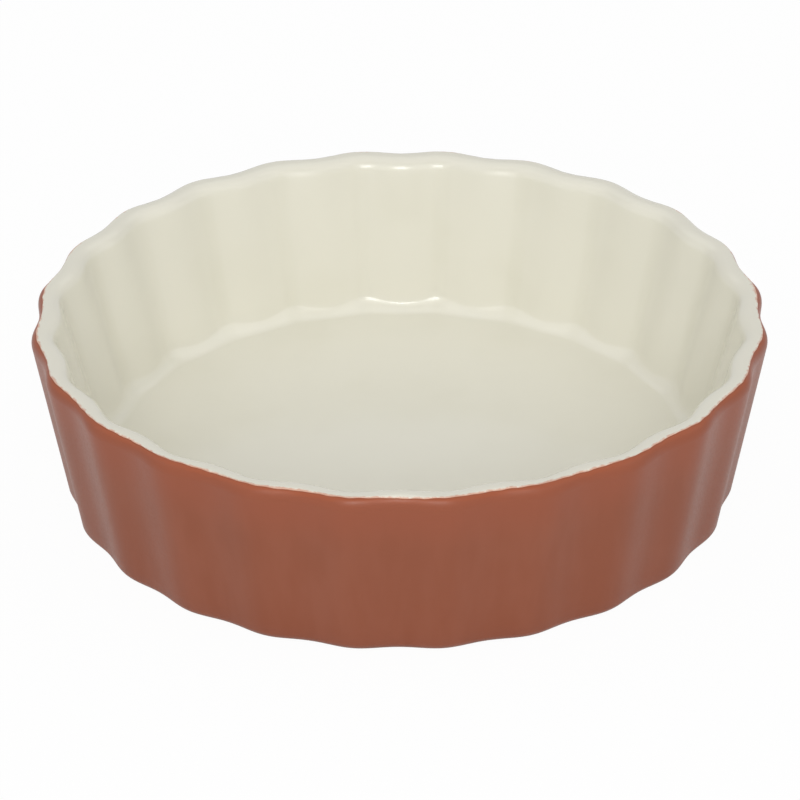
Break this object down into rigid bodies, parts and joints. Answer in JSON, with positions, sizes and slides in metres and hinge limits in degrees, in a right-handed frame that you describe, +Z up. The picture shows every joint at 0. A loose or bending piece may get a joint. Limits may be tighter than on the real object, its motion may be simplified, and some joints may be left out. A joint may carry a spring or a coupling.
{
  "type": "fluted quiche dish",
  "caption": "Round fluted stoneware quiche dish with a cream glazed inside and lip, a terracotta glazed outside wall and a bare foot ring, for baking tarts and quiches.",
  "frame": {"origin": "centre of the foot ring on the table plane", "axes": "+Z up through the middle of the dish; a hollow between two ridges of the outside faces -Y, the front, and one faces +X"},
  "size_m": [0.2482, 0.2482, 0.064],
  "materials": {
    "fired_stoneware": "bare fired buff stoneware, matt and finely speckled",
    "cream_glaze": "glossy cream glaze",
    "terracotta_glaze": "glossy opaque terracotta glaze"
  },
  "bodies": {
    "root": {"stoneware_body": "fired_stoneware", "cream_glaze_lining": "cream_glaze", "terracotta_glaze_wall_coat": "terracotta_glaze", "terracotta_glaze_base_coat": "terracotta_glaze"}
  },
  "joints": []
}
